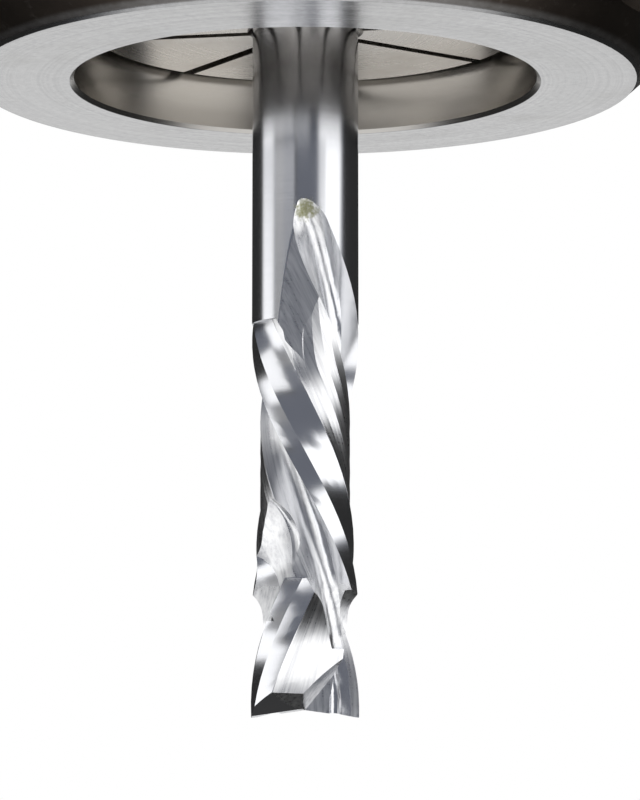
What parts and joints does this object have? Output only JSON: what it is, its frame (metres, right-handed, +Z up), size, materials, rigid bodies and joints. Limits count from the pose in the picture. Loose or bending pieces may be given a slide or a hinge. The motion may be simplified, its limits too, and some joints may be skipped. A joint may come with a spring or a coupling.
{
  "type": "end mill in collet and nut",
  "caption": "Two-flute compression end mill with down-cut and up-cut teeth, gripped in a slotted spring collet inside its clamping nut.",
  "frame": {"origin": "on the tool axis at the gauge plane, where the collet's 8 degree taper is widest and the spindle's seat begins", "axes": "+Z up the tool axis into the spindle; the end mill points down along -Z; +X towards the tip's second tooth"},
  "size_m": [0.05, 0.0496, 0.0812],
  "materials": {
    "carbide": "ground bright, with fine grinding lines",
    "collet_steel": "ground, satin bright",
    "nut_steel": "black oxide, front face ground bright"
  },
  "bodies": {
    "collet": {"spring_collet": "collet_steel"},
    "nut": {"clamping_nut": "nut_steel"},
    "cutter": {"end_mill": "carbide"}
  },
  "joints": [
    {"name": "nut_turn", "type": "hinge", "parent": "collet", "child": "nut", "pos_m": [0, 0, 0], "axis": [0, 0, 1], "continuous": true},
    {"name": "end_mill_slide", "type": "slide", "parent": "collet", "child": "cutter", "axis": [0, 0, -1], "range_m": [-0.01, 0.026]}
  ]
}
